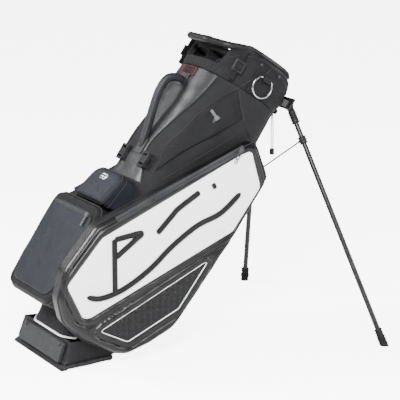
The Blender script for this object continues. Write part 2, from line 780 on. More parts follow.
THREAD = Finish("thread", rgb(0.0193, 0.0193, 0.022), rgb(0.033, 0.033, 0.0358), 0.5,
                surface=Surface.BRAID, pitch=0.0006, depth=0.00008, wear=0.0)
GREY_WELD = Finish("zip_tape", rgb(0.022, 0.023, 0.026), rgb(0.035, 0.036, 0.039), 0.42, pitch=0.0008,
                   depth=0.00006, wear=0.2, worn=rgb(0.08, 0.08, 0.085))
WEBBING = Finish("webbing", rgb(0.0054, 0.0054, 0.006), rgb(0.009, 0.009, 0.0099), 0.6,
                 surface=Surface.RIB, pitch=0.0017, depth=0.0003, along=True, wear=0.05)
HANDLE_SKIN = Finish("handle_padding", rgb(0.0096, 0.0102, 0.012), rgb(0.015, 0.0156, 0.018), 0.42,
                     specular=0.22, pitch=0.0012, depth=0.0002, crease=0.0008, wear=0.3)
CUFF_CLOTH = Finish("cuff_fabric", rgb(0.0045, 0.0045, 0.0051), rgb(0.0072, 0.0072, 0.0081), 0.6,
                    surface=Surface.TWILL, pitch=0.002, depth=0.0002, crease=0.0012, wear=0.1)
CUFF_PLASTIC = Finish("cuff_moulding", rgb(0.006, 0.006, 0.0066), rgb(0.0102, 0.0102, 0.0111), 0.38,
                      pitch=0.0009, depth=0.00008, wear=0.5)
BASE_PLASTIC = Finish("base_moulding", rgb(0.006, 0.006, 0.0066), rgb(0.0102, 0.0105, 0.0114), 0.48,
                      pitch=0.0008, depth=0.0001, wear=0.4, dust=0.03)
HEEL_PLASTIC = Finish("heel_moulding", rgb(0.012, 0.0125, 0.014), rgb(0.019, 0.02, 0.022), 0.45,
                      pitch=0.0009, depth=0.0001, wear=0.6, worn=rgb(0.03, 0.03, 0.032), dust=0.03)
BUCKLE_PLASTIC = Finish("buckle_moulding", rgb(0.0048, 0.0048, 0.0054), rgb(0.0084, 0.0084, 0.009), 0.33,
                        pitch=0.0007, depth=0.00005, wear=0.5)
STAND_PLASTIC = Finish("stand_moulding", rgb(0.0042, 0.0042, 0.0048), rgb(0.0078, 0.0078, 0.0084), 0.4,
                       pitch=0.0008, depth=0.00008, wear=0.5)
RUBBER = Finish("foot_rubber", rgb(0.0048, 0.0048, 0.0048), rgb(0.0084, 0.0081, 0.0078), 0.72,
                pitch=0.0007, depth=0.00012, wear=0.5, dust=0.25)
LEG_PAINT = Finish("leg_paint", rgb(0.002, 0.002, 0.0022), rgb(0.0032, 0.0032, 0.0034), 0.3, coat=0.05,
                   specular=0.35, surface=Surface.BRUSHED, pitch=0.0009, depth=0.00003, wear=0.3,
                   dust=0.03)
WIRE_STEEL = Finish("wire_steel", rgb(0.012, 0.012, 0.013), rgb(0.02, 0.02, 0.021), 0.4, metallic=0.2,
                    surface=Surface.BRUSHED, pitch=0.0006, depth=0.00003, wear=0.3,
                    worn=rgb(0.12, 0.12, 0.12))
CHROME = Finish("ring_chrome", rgb(0.2604, 0.2666, 0.279), rgb(0.3472, 0.3534, 0.3658), 0.24,
                metallic=1.0, surface=Surface.BRUSHED, pitch=0.0007, depth=0.00003, shade=0.2, wear=0.4,
                worn=rgb(0.75, 0.75, 0.76), dust=0.0)
PULL_METAL = Finish("pull_metal", rgb(0.03, 0.031, 0.034), rgb(0.05, 0.05, 0.053), 0.5, metallic=0.3,
                    pitch=0.0006, depth=0.00003, shade=0.25, wear=0.5, worn=rgb(0.12, 0.12, 0.12),
                    dust=0.0)
FLEECE = Finish("divider_fabric", rgb(0.0036, 0.0036, 0.0039), rgb(0.0066, 0.0066, 0.0072), 0.85,
                pitch=0.0022, depth=0.0005, crease=0.002, wear=0.0)
LABEL_CLOTH = Finish("label_cloth", rgb(0.006, 0.006, 0.007), rgb(0.01, 0.01, 0.011), 0.55,
                     surface=Surface.RIB, pitch=0.001, depth=0.0001, along=True, wear=0.0)
RED_CORD = Finish("label_edge", rgb(0.16, 0.014, 0.018), rgb(0.24, 0.022, 0.026), 0.5,
                  surface=Surface.RIB, pitch=0.0008, depth=0.00012, along=True, wear=0.0)
ELASTIC = Finish("elastic", rgb(0.006, 0.006, 0.0066), rgb(0.015, 0.015, 0.0156), 0.55,
                 surface=Surface.BRAID, pitch=0.0011, depth=0.0002, wear=0.0)
STAY_GLASS = Finish("stay_fibre", rgb(0.45, 0.42, 0.33), rgb(0.55, 0.52, 0.42), 0.4,
                    surface=Surface.BRUSHED, pitch=0.001, depth=0.00005)

NODE_FINISHES = {
    "base_cup": BASE_PLASTIC, "heel_plate": HEEL_PLASTIC, "base_piping": PIPING, "foot_plate": BASE_PLASTIC,
    "foot_pads": RUBBER, "hinge_pins": WIRE_STEEL, "stay_rods": STAY_GLASS, "divider_walls": FLEECE,
    "divider_hoop": FLEECE, "divider_bars": FLEECE, "top_cuff": CUFF_PLASTIC, "handle_mounts": SPINE_LEATHER,
    "strap_buckles": BUCKLE_PLASTIC, "rivets": WIRE_STEEL, "ladder_buckles": BUCKLE_PLASTIC,
    "dring_patch": CUFF_CLOTH, "ball_zip_pull": PULL_METAL, "leg_bracket": STAND_PLASTIC,
    "actuator_yoke": STAND_PLASTIC, "actuator_wire": WIRE_STEEL, "wire_guides": STAND_PLASTIC,
    "lock_knob": BUCKLE_PLASTIC, "lock_toggle": BUCKLE_PLASTIC,
}
for handed in ("left", "right"):
    NODE_FINISHES.update({
        f"upper_zip_pull_{handed}": PULL_METAL,
        f"leg_knuckle_{handed}": STAND_PLASTIC, f"leg_tube_{handed}": LEG_PAINT,
        f"leg_foot_{handed}": RUBBER, f"leg_clamp_{handed}": STAND_PLASTIC,
        f"push_rod_{handed}": WIRE_STEEL})


def dress_frame() -> None:
    """Gives every carried-over node of the frame its finish."""
    for name, finish in NODE_FINISHES.items():
        node = frame["nodes"][name]
        node.data.materials.clear()
        node.data.materials.append(finish.material())


def placed(shape: Shape, name: str, finish: Finish, body: str = BODY, stands_for: Sequence[str] = (),
           sharp: float = 40.0,
           ) -> bpy.types.Object:
    """Makes a piece of a shape, dresses it and ties it to its body.

    Args:
        shape: the mesh.
        name: the piece's name.
        finish: its finish.
        body: the body it rides on.
        stands_for: the frame's nodes it replaces.
        sharp: edges sharper than this many degrees stay crisp.

    Returns:
        The piece.
    """
    made = shape.piece(name, sharp)
    made.data.materials.append(finish.material())
    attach(made, body)
    if stands_for:
        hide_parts(*stands_for)
    LOG.info("%s: %d corners", name, len(shape.verts))
    return made


# --- trunk --------------------------------------------------------------------------------------

@dataclass(frozen=True)
class Tube:
    """A body of rounded sections up the trunk: height, rear, front, half width, corner radius."""

    stations: tuple

    def at(self, z: Array) -> Array:
        """Rear, front, half width and corner radius at each height, on straight lines between stations."""
        table = np.array(self.stations, float)
        return np.stack([np.interp(z, table[:, 0], column) for column in table[:, 1:].T])

    def rear_at(self, across: Array, z: Array) -> Array:
        """How far the rear face lies along the belly's axis: flat, then down its round corners."""
        rear, _, wide, radius = self.at(z)
        past = np.maximum(np.abs(across) - wide + radius, 0)
        return rear + radius - np.sqrt(radius ** 2 - past ** 2)

    def ring(self, turn: Array, z: Array, out: Array) -> tuple:
        """Points round the body.

        An eighth of a turn is one side or one corner. A point is the corner's middle, or one
        between two of them, plus the radius times the direction it faces.

        Args:
            turn: place round the body, from 0 to 1, starting on the belly's right.
            z: height of each point.
            out: distance outside the surface.

        Returns:
            The points and the directions they face.
        """
        rear, front, half, radius = self.at(z)
        eighth = np.mod(turn, 1.0) * 8
        part = np.floor(eighth)
        along = eighth - part
        corner = np.mod(part, 2) == 1
        angle = np.where(corner, (part - 1) / 2 + along, part / 2) * math.pi / 2
        step = np.where(corner, (part - 1) / 2, part / 2 - 0.5)
        after = np.where(corner, step, step + 1)

        def middle(index: Array) -> Array:
            turned = (index + 0.5) * math.pi / 2
            x = np.where(np.cos(turned) > 0, front - radius, rear + radius)
            y = np.where(np.sin(turned) > 0, half - radius, -(half - radius))
            return np.stack([x, y], -1)

        share = np.where(corner, 0.0, along)[..., None]
        centre = middle(step) * (1 - share) + middle(after) * share
        faces = np.stack([np.cos(angle), np.sin(angle)], -1)
        flat = centre + faces * (radius + out)[..., None]
        return (np.concatenate([flat, z[..., None]], -1),
                np.concatenate([faces, 0 * z[..., None]], -1))

    def away(self, points: Array) -> tuple:
        """Distance of points from the surface, positive outside, and the direction out.

        The distance is that of a rounded box in the section at the point's height.
        """
        rear, front, half, radius = self.at(points[..., 2])
        middle, wide = (rear + front) / 2, (front - rear) / 2
        x, y = points[..., 0] - middle, points[..., 1]
        over_x, over_y = np.abs(x) - wide + radius, np.abs(y) - half + radius
        past = np.hypot(np.maximum(over_x, 0), np.maximum(over_y, 0))
        inner = np.minimum(np.maximum(over_x, over_y), 0)
        flat_x = np.where(past > 0, np.maximum(over_x, 0), (over_x >= over_y) * 1.0)
        flat_y = np.where(past > 0, np.maximum(over_y, 0), (over_x < over_y) * 1.0)
        out = unit(np.stack([flat_x * np.sign(x), flat_y * np.sign(y), 0 * x], -1))
        return past + inner - radius, out

    def settled(self, points: Array, out: float | Array = 0.0) -> tuple:
        """Points moved to lie the given distance off the surface, and the directions they face."""
        points = np.array(points, float)
        for _ in range(4):
            far, way = self.away(points)
            points = points - way * (far - out)[..., None]
        return points, self.away(points)[1]


TRUNK = Tube(((-60, -121, 98, 128, 62), (60, -135, 99, 128, 66), (330, -150, 100, 128, 70),
              (460, -150, 100, 128, 80), (550, -147, 100, 128, 85), (660, -140, 100, 128, 92),
              (744, -135, 103, 126, 98)))
CUFF = Tube(((745, -135, 103, 126, 98), (770, -137, 109, 127, 98), (815, -136, 106, 127, 98),
             (842, -132, 97, 124, 96)))
WHOLE = Tube(TRUNK.stations + CUFF.stations[1:])
SMALL_POCKET = 0.86         # the left side pocket's share of the right one's size
LEAN = math.atan2(-float(AXES.belly[2]), float(AXES.up[2]))


def rumple(points: Array, amount: float, size: float) -> Array:
    """Slow rises and dips of cloth: three crossed sines of the place, with unlike lengths."""
    x, y, z = points[..., 0] / size, points[..., 1] / size, points[..., 2] / size
    return amount * (np.sin(2.1 * x + 1.3 * z + 0.7) * np.cos(1.7 * y - 0.9 * z)
                     + 0.6 * np.sin(3.7 * z + 2.3 * y + 1.1) * np.cos(2.9 * x - 1.0)) / 1.6


def folds(flat: Array, deep: Array, amount: float, size: float) -> Array:
    """Rumpling of a cushion's face, from its flat points and their distance inside the edge."""
    return rumple(np.concatenate([flat, deep[:, None]], 1), amount, size)


def seamed(tube: Tube, seam: tuple, side: int, count: int, out: float, radius: float, rise: float,
           thread_out: float) -> tuple:
    """A seam's piping and the stitches beside it, laid on one side of a body.

    Args:
        tube: the body that they lie on.
        seam: points of its line on the right side.
        side: 1 for the left, -1 for the right.
        count: points of its smooth line.
        out: distance of the piping's middle outside the surface.
        radius: radius of the piping.
        rise: how far up the stitches lie from the piping.
        thread_out: distance of the stitches outside the surface.

    Returns:
        The piping and the stitches.
    """
    line, faces = tube.settled(flowing(seam, count) * np.array((1, -side, 1)), out)
    beside, face = tube.settled(line + np.array((0, 0, rise)), thread_out)
    return carried(line, circle(radius, 8), faces), stitched(beside, face, thick=0.7)


@dataclass
class Trunk:
    """The trunk's cloth, the spine's coated leaf, the seams and the carry handle."""

    cut_height: float = 66.3        # the cloth ends at this height above the ground, at the base cup
    top: float = 743.6
    wall: float = 3.0
    leaf: tuple = ((418, 80), (440, 72), (470, 42), (508, 22), (540, 34), (580, 55), (640, 78),
                   (690, 88), (742, 92))
    upper_seam: tuple = ((-62, -123, 743), (-86, -116, 704), (-101, -110, 669), (-116, -101, 624),
                         (-128, -94, 573), (-138, -83, 530), (-137, -88, 490), (-136, -93, 455))
    lower_seam: tuple = ((-9, -127, 680), (-46, -128, 621), (-84, -124, 567), (-110, -115, 520),
                         (-130, -100, 471))
    cuff_seam: tuple = ((-62, -123, 743), (-39, -126, 713), (-6, -127, 682), (42, -121, 652))
    pocket_seam: tuple = ((-4, -128, 640), (-47, -128, 571), (-86, -125, 506), (-116, -114, 449))
    handle: tuple = ((-152, 0, 503), (-161, 0, 545), (-176, 0, 598), (-186, 0, 645), (-182, 0, 680),
                     (-163, 0, 696), (-140, 0, 700))
    grip: float = 10.5

    def cloth(self) -> Shape:
        """The skin: a tube with a wall, cut level at the base.

        The outer and the inner face are the same rings, a wall apart, and a ring's lower end
        is where the height above the ground, z cos(lean) - x sin(lean), is the cut's.
        """
        turn = np.linspace(0, 1, 176, endpoint=False)
        low = np.zeros(len(turn))
        for _ in range(6):
            points, _ = TRUNK.ring(turn, low, 0 * low)
            low = (self.cut_height + points[:, 0] * math.sin(LEAN)) / math.cos(LEAN)
        rise = np.linspace(0, 1, 90)[:, None]
        z = low[None] + (self.top - low[None]) * rise
        around = np.broadcast_to(turn, z.shape)
        outer, faces = TRUNK.ring(around, z, 0 * z)
        fade = np.sin(math.pi * rise) ** 0.4
        outer = outer + faces * (np.abs(rumple(outer, 1.5, 34.0)) * fade)[..., None]
        inner, _ = TRUNK.ring(around, z, 0 * z - self.wall)
        return woven_grid(np.concatenate([outer, inner[::-1]]), loop_rows=True, ends=False)

    def leaf_half(self, z: Array, reach: int) -> Array:
        """The leaf's half width at each height, each the mean of its neighbours within reach."""
        table = np.array(self.leaf, float)
        count = 2 * reach + 1
        half = np.pad(np.interp(z, table[:, 0], table[:, 1]), reach, "edge")
        return np.convolve(half, np.ones(count) / count, "valid")

    def spine_leaf(self) -> Shape:
        """The coated leaf on the spine: wide at the cuff, narrow at the handle's foot."""
        z = np.linspace(418, 743, 110)[:, None]
        half = self.leaf_half(z[:, 0], 6)[:, None]
        across = np.linspace(-1, 1, 61)[None]
        points = np.stack([0 * z * across, across * half, z + 0 * across], -1)
        crown = 1 - np.abs(across) ** 14
        points[..., 0] = TRUNK.rear_at(points[..., 1], points[..., 2])
        lift = 0.9 + 1.5 * crown + np.maximum(rumple(points, 0.7, 26.0), -0.2) * crown
        top, _ = TRUNK.settled(points, lift)
        under, _ = TRUNK.settled(points, 0.15)
        return woven_grid(np.concatenate([top, under[:, ::-1]], 1))

    def leaf_edge(self, side: int) -> tuple:
        """The line of the leaf's edge on one side, and the directions it faces."""
        z = np.linspace(420, 742, 60)
        half = self.leaf_half(z, 3)
        return TRUNK.settled(np.stack([TRUNK.rear_at(half, z), side * half, z], 1), 1.2)

    def upper_pocket(self, side: int) -> Shape:
        """The flat upper pocket: the ruled sheet between its two seams, raised like a cushion."""
        top = flowing(self.upper_seam, 80)
        bottom = flowing(self.lower_seam, 80)
        across = np.linspace(0.03, 0.97, 44)[None, :, None]
        flat = (top[:, None] * (1 - across) + bottom[:, None] * across) * np.array((1, -side, 1))
        u = np.linspace(0, 1, 80)[:, None]
        v = across[..., 0]
        high = 7.0 * np.minimum(np.sin(math.pi * v) * 2.4, 1) ** 0.6
        high = high * np.minimum(np.sin(math.pi * u) * 3.2, 1) ** 0.7
        raised, _ = WHOLE.settled(flat, 0.4 + high + rumple(flat, 0.5, 22.0) * (high > 3))
        under, _ = WHOLE.settled(flat, -1.0)
        return woven_grid(np.concatenate([raised, under[:, ::-1]], 1))

    def carry_handle(self) -> Shape:
        """The padded handle: a grooved oval carried along its bow, thinner at both ends.

        The section's radius falls by a tenth at four grooves along it.
        """
        path = flowing(self.handle, 90)
        turn = turns(28)
        radius = self.grip * (1 - 0.10 * np.exp(-(np.sin(2 * turn) / 0.22) ** 2))
        profile = np.stack([radius * np.cos(turn) * 1.05, radius * np.sin(turn) * 0.95], 1)
        end = np.linspace(-1, 1, 90)
        return carried(path, profile, (0, 1, 0), swell=1 - 0.22 * np.abs(end) ** 6)

    def build(self) -> None:
        """Makes the trunk's pieces."""
        placed(self.cloth(), "trunk_cloth", TRUNK_CLOTH, stands_for=["trunk_shell"])
        placed(self.spine_leaf(), "spine_leaf", SPINE_LEATHER, stands_for=["spine_panel"])
        placed(self.carry_handle(), "carry_handle", HANDLE_SKIN, stands_for=["trunk_handle"])
        seams, threads = [], []
        for side in (-1, 1):
            for seam in (self.upper_seam, self.lower_seam, self.cuff_seam, self.pocket_seam):
                piping, thread = seamed(WHOLE, seam, side, 90, 0.7, 1.1, 4.5, 0.5)
                seams.append(piping)
                threads.append(thread)
            line, out = self.leaf_edge(side)
            seams.append(carried(line, circle(1.5, 8), out))
            inner, face = TRUNK.settled(line - np.array((0, side * 5.0, 0)), 2.9)
            threads.append(stitched(inner, face, thick=0.7))
            handed = hand(side)
            placed(self.upper_pocket(side), f"upper_pocket_{handed}", POCKET_CLOTH,
                   stands_for=[f"valuables_pocket_{handed}"])
        placed(joined(seams), "trunk_seam_piping", BLACK_PIPING)
        placed(joined(threads), "trunk_stitching", THREAD)


# --- cuff ---------------------------------------------------------------------------------------

@dataclass
class Cuff:
    """The padded band round the cuff, its seams, the label, the webbing and the mouth's padding."""

    bottom: float = 745.0
    top: float = 832.0
    rim: float = 849.0
    fall_from: float = 76.0         # behind this the upper edge falls towards the spine
    fall: float = 0.365
    mouth: float = 809.0            # height of the rolls that part the mouth
    window: float = 772.0
    window_half: float = 84.0
    arch_seam: tuple = ((-123, -72, 776), (-112, -93, 796), (-90, -111, 816), (-60, -121, 829),
                        (-20, -126, 832), (20, -124, 826), (60, -110, 812), (96, -60, 800))
    low_seam: tuple = ((-8, -126, 830), (-19, -127, 804), (-39, -127, 782), (-62, -123, 746))

    def band(self) -> Shape:
        """The band: its upper edge drops to the hand window at the rear, on a smooth step."""
        turn = np.linspace(0, 1, 240, endpoint=False)
        ring, _ = CUFF.ring(turn, np.full(240, 800.0), np.zeros(240))
        rear = eased((-ring[:, 0] - 52) / 16)
        gap = eased((self.window_half + 8 - np.abs(ring[:, 1])) / 14) * rear
        fall = np.maximum(-ring[:, 0] - self.fall_from, 0) * self.fall
        top = np.minimum(self.top, self.rim - fall)
        top = top + (self.window - top) * gap
        rise = np.linspace(0, 1, 34)[:, None]
        z = self.bottom + (top[None] - self.bottom) * rise
        around = np.broadcast_to(turn, z.shape)
        puff = 2.4 * hump(rise) ** 0.5
        outer, faces = CUFF.ring(around, z, puff - 0.6)
        outer = outer + faces * rumple(outer, 0.8, 24.0)[..., None] * np.sin(math.pi * rise)[..., None]
        inner, _ = CUFF.ring(around, z, 0 * z - 4.2)
        return woven_grid(np.concatenate([outer, inner[::-1]]), loop_rows=True, ends=False)

    def label(self) -> tuple:
        """The label's cloth, its border and two plain woven bars across it."""
        edge = outline(((-32, 717.5), (32, 717.5), (32, 742.5), (-32, 742.5)), (3, 3, 3, 3), 100)

        def place(flat: Array, height: Array) -> Array:
            rear = TRUNK.at(flat[..., 1])[0]
            return np.stack([rear - height, flat[..., 0], flat[..., 1]], -1)

        def bars(flat: Array, deep: Array) -> Array:
            rows = np.abs(flat[:, 1] - 730.0)
            return 0.7 * (np.abs(rows - 4.2) < 1.6) * (np.abs(flat[:, 0]) < 22)

        cloth = cushion(edge, place, 2.0, 5.0, 0.8, bars, rings=40)
        middle = edge.mean(0)
        return cloth, edged(place, middle + (edge - middle) * (0.955, 0.87), 5.1, 0.75, (-1, 0, 0))

    def mouth_rolls(self) -> Shape:
        """The padded cross bars: round rolls from wall to wall, and one round the mouth."""
        z = self.mouth
        turn = np.linspace(0, 1, 120, endpoint=False)
        hoop, _ = CUFF.ring(turn, np.full(120, z), np.full(120, -16.6))
        rolls = [carried(hoop, circle(4.2, 12, 1.7), (0, 0, 1), closed=True)]
        along = resampled(np.array(((-122, 0, z), (93, 0, z))), 40)
        across = resampled(np.array(((-16, -113, z), (-16, 113, z))), 40)
        swell = 1 - 0.12 * np.cos(np.linspace(0, 6 * math.pi, 40))
        for path in (along, across):
            rolls.append(carried(path, circle(6.2, 14, 1.25), (0, 0, 1), swell=swell))
        return joined(rolls)

    def build(self) -> None:
        """Makes the cuff's pieces."""
        placed(self.band(), "cuff_padding", CUFF_CLOTH, stands_for=["cuff_band"])
        cloth, border = self.label()
        placed(cloth, "label_cloth", LABEL_CLOTH, stands_for=["label_patch"])
        placed(border, "label_border", RED_CORD)
        placed(self.mouth_rolls(), "mouth_padding", FLEECE, stands_for=["divider_hoop", "divider_bars"])
        seams, threads, straps = [], [], []
        for side in (-1, 1):
            for seam in (self.arch_seam, self.low_seam):
                piping, thread = seamed(CUFF, seam, side, 80, 1.9, 1.0, -4.0, 2.3)
                seams.append(piping)
                threads.append(thread)
            straps.append(self.strap(side))
        placed(joined(seams), "cuff_seam_piping", BLACK_PIPING)
        placed(joined(threads), "cuff_stitching", THREAD)
        placed(joined(straps), "buckle_straps", WEBBING, stands_for=["buckle_webbing"])
        placed(self.ring(), "towel_ring", CHROME, body="d_ring", stands_for=["d_ring"])

    def ring(self) -> Shape:
        """The steel D-ring: a straight bar with a round bow hanging from it."""
        bow = flowing(((-32, 791), (-38, 776), (-34, 760), (-22, 750), (-10, 747), (2, 750), (14, 760),
                       (18, 776), (12, 791), (8, 796), (-10, 796.2), (-28, 796), (-32, 791)), 120)[:-1]
        path = np.stack([bow[:, 0], np.full(len(bow), -134.6), bow[:, 1]], 1)
        return carried(path, circle(2.3, 12), (0, -1, 0), closed=True)

    @staticmethod
    def strap(side: int) -> Shape:
        """Webbing through a ladder buckle: up from the cuff's seam, over both bars and on to the rim."""
        path = flowing([(-99, side * y, z) for y, z in
                        ((128.6, 750), (129.4, 768), (132.5, 776), (136.8, 786), (132.5, 796), (129.6, 806),
                         (128.8, 834))], 60)
        return carried(path, pad_profile(9.0, -0.8, 0.8, 18, 5.0), (0, side, 0))


# --- pockets ------------------------------------------------------------------------------------

@dataclass(frozen=True)
class ZipKind:
    """A welded zip's section and its coil. Lengths are millimetres."""

    half: float
    deep: float
    high: float
    corners: int
    power: float
    tooth: tuple
    teeth: int
    lift: float
    steps: int = 60
    coil: Finish = BUCKLE_PLASTIC

    def lay(self, ends: Array, out: Sequence[float], name: str) -> bpy.types.Object:
        """Makes a straight zip's tape and its coil of small beads.

        Args:
            ends: the two ends of its middle line.
            out: the direction that its face looks.
            name: the pieces' name, with a place for the word tape or coil.

        Returns:
            The tape.
        """
        out = np.asarray(out, float)
        way = unit(ends[1] - ends[0])
        section = pad_profile(self.half, self.deep, self.high, self.corners, self.power)
        tape = placed(carried(resampled(ends, self.steps), section, out), name.format("tape"), GREY_WELD)
        turned = [np.repeat(v[None], self.teeth, 0) for v in (np.cross(way, out), out, way)]
        coil = scattered(bead(*self.tooth), resampled(ends, self.teeth) + out * self.lift, *turned)
        placed(coil, name.format("coil"), self.coil)
        return tape


SIDE_ZIP = ZipKind(8.5, -1.6, 0.5, 18, 6.0, (3.4, 1.3, 1.2), 180, 0.5, steps=120)
BALL_ZIP = ZipKind(4.0, -1.2, 0.4, 14, 5.0, (3.2, 1.3, 1.1), 96, 0.4)
UPPER_ZIP = ZipKind(4.4, -1.6, 0.4, 16, 5.0, (2.4, 1.3, 0.9), 70, 0.4, coil=GREY_WELD)


@dataclass
class SidePocket:
    """A side pocket: padded frame, glossy panel, quilted panel, emblem, zip and piping."""

    inner: float = 129.6
    outer: float = 173.0
    recess: float = 6.0
    pocket: tuple = ((-241, 268), (-257, 137), (-232, 68), (-190, 29), (-125, 14), (-22, 24), (10, 38),
                     (50, 87), (88, 149), (110, 396), (115, 590), (33, 648))
    pocket_round: tuple = (40, 40, 30, 40, 60, 30, 40, 40, 60, 90, 26, 12)
    panel: tuple = ((-216, 250), (-235, 107), (-154, 59), (-136, 65), (100, 428), (107, 560), (31, 625),
                    (8, 599))
    panel_round: tuple = (14, 14, 8, 8, 14, 14, 8, 5)
    quilt: tuple = ((-94, 52), (78, 338), (70, 195), (-11, 63))
    quilt_round: tuple = (5, 5, 20, 12)
    quilt_pitch: float = 17.0
    roll: float = 17.0              # width of the padded roll round the panels
    zip_ends: tuple = ((6, 617), (-206, 304))
    corner: tuple = (-140.8, 54.7)
    lie: tuple = (0.54, 0.842)
    emblem: tuple = (((95, 22), (150, 150)), ((150, 148), (226, 126), (134, 106)),
                     ((28, 56), (60, 34), (120, 24), (200, 32), (280, 54), (360, 66), (430, 62), (500, 80)),
                     ((256, 104), (330, 132), (400, 140)), ((436, 134), (446, 134)))
    rope: float = 7.2
    kept: tuple = (115.0, 500.0)    # the smaller pocket is drawn in towards this point
    side: int = -1                  # 1 for the left, -1 for the right
    share: float = 1.0
    chain: tuple = (3, 11.5, 9.4, 3.2, 5.4)     # links, drop of the first, step, half sizes of a link

    @property
    def handed(self) -> str:
        """The word for the pocket's side."""
        return hand(self.side)

    def place(self, flat: Array, height: Array) -> Array:
        """Points of the bag's side from points of the side view and heights."""
        return np.stack([flat[..., 0], self.side * height, flat[..., 1]], -1)

    def drawn_in(self, flat: Array) -> Array:
        """Side-view points of the full-sized pocket, drawn in to the pocket's share of its size."""
        kept = np.array(self.kept)
        return kept + (np.asarray(flat, float) - kept) * self.share

    def edges(self) -> tuple:
        """The outlines of the pocket, the glossy panel and the quilted panel."""
        return (self.drawn_in(outline(self.pocket, self.pocket_round, 330)),
                self.drawn_in(outline(self.panel, self.panel_round, 260)),
                self.drawn_in(outline(self.quilt, self.quilt_round, 300)))

    def face_relief(self, flat: Array, deep: Array) -> Array:
        """Height of the pocket's face over its flat level.

        A half-sine roll runs round each panel's bed, a groove lies outside the roll, the rest
        swells as a low half sine between edge and groove, and each bed sinks on a smooth step.
        """
        _, panel, quilt = self.edges()
        from_panel = -inside_by(flat, panel[::3])
        from_quilt = -inside_by(flat, quilt[::3])
        near = np.minimum(from_panel, from_quilt)
        strip = np.where((from_quilt < 45) & (from_panel < 45), 0.5 * (from_panel + from_quilt), self.roll)
        width = np.clip(np.minimum(strip, self.roll), 6, self.roll)
        roll = 4.2 * hump(from_panel / self.roll) ** 0.7
        slim = 2.6 * hump(near / width) ** 0.7
        rise = np.where(from_quilt < 30, slim, roll)
        groove = -1.6 * np.exp(-((near - width) / 1.5) ** 2)
        rest = 3.4 * hump((near - width) / np.maximum(near - width + deep, 1))
        bed = -self.recess * eased(-near / 2.0)
        creases = folds(flat, deep, 0.7, 19.0) * (near > 0)
        return (rise + rest) * (near > 0) + groove + bed + creases

    def quilt_relief(self, flat: Array, deep: Array) -> Array:
        """Quilting: each diamond swells by the root of two crossed sines, and the rim stays low."""
        run, rise = self.lie
        along = (flat[:, 0] - self.corner[0]) * run + (flat[:, 1] - self.corner[1]) * rise
        up = -(flat[:, 0] - self.corner[0]) * rise + (flat[:, 1] - self.corner[1]) * run
        one = np.abs(np.sin(math.pi * (along * 0.62 + up * 0.9) / self.quilt_pitch))
        two = np.abs(np.sin(math.pi * (along * 0.95 - up * 0.42) / self.quilt_pitch))
        return 2.8 * np.sqrt(one * two) * eased(deep / 5)

    def panel_point(self, stroke: Array) -> Array:
        """Points of the panel's own axes, along its lower edge and up, in the side view."""
        (x, z), (run, rise) = self.corner, self.lie
        return np.stack([x + run * stroke[:, 0] - rise * stroke[:, 1],
                         z + rise * stroke[:, 0] + run * stroke[:, 1]], 1)

    def build(self) -> None:
        """Makes the pocket's pieces."""
        handed, place = self.handed, self.place
        pocket, panel, quilt = self.edges()
        body = cushion(pocket, place, self.inner, self.outer, 15.0, self.face_relief, rings=110)
        placed(body, f"side_pocket_{handed}_padding", SATIN_FRAME, stands_for=[f"side_pocket_{handed}"])
        bed = self.outer - self.recess + 0.15
        sheet = cushion(panel, place, bed, bed + 4.2, 2.5,
                        lambda flat, deep: 1.6 * eased(deep / 40) + folds(flat, deep, 0.25, 60.0),
                        rings=70)
        placed(sheet, f"gloss_panel_{handed}", WHITE_GLOSS, stands_for=[f"side_panel_{handed}"])
        insert = cushion(quilt, place, bed, bed + 3.4, 1.2, self.quilt_relief, rings=64)
        piece = placed(insert, f"quilt_panel_{handed}", QUILT_CLOTH)
        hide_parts("quilt_panels")
        facing = (0, self.side, 0)
        placed(edged(place, quilt, self.outer - 0.6, 1.25, facing), f"quilt_piping_{handed}", PIPING)
        lips = [edged(place, panel, self.outer - 1.4, 1.5, facing),
                edged(place, pocket, self.outer - 14.0, 1.7, facing)]
        placed(joined(lips), f"side_pocket_{handed}_piping", BLACK_PIPING)
        self.thread(panel)
        self.emblem_rope(bed + 4.2 + 1.3)
        self.zip()
        self.pull()

    def pull(self) -> None:
        """The zip's slider with a hanging chain of three rings, at the zip's upper end."""
        top, foot = self.drawn_in(self.zip_ends)
        at = top + unit(foot - top) * 10
        slider = cushion(at + outline(((-5.5, -6.5), (5.5, -6.5), (5.5, 6.5), (-5.5, 6.5)), (3, 3, 3, 3), 60),
                         self.place, self.outer + 2.3, self.outer + 8.6, 1.6, rings=12)
        parts = [slider]
        links, first, pitch, half_x, half_z = self.chain
        turn = turns(40)
        for step in range(links):
            middle = at - (0, first + pitch * step)
            flat = middle + np.stack([half_x * np.cos(turn), half_z * np.sin(turn)], 1)
            link = self.place(flat, np.full(40, self.outer + 8.0 + 0.5 * (step % 2)))
            parts.append(carried(link, circle(1.0, 8), (0, self.side, 0), closed=True))
        body = f"side_zip_pull_{self.handed}"
        placed(joined(parts), f"side_pull_chain_{self.handed}", PULL_METAL, body=body, stands_for=[body])

    def thread(self, panel: Array) -> None:
        """Stitches round the glossy panel, on the crest of its padded roll."""
        middle = panel.mean(0)
        way = unit(np.roll(panel, -1, 0) - np.roll(panel, 1, 0))
        out = np.stack([way[:, 1], -way[:, 0]], 1)
        out = out * np.sign((out * (panel - middle)).sum(1, keepdims=True))
        ring = panel + out * (self.roll + 0.2)
        keep = self.place(ring, np.full(len(ring), self.outer - 0.6))
        placed(stitched(keep, (0, self.side, 0), closed=True), f"frame_stitching_{self.handed}", THREAD)

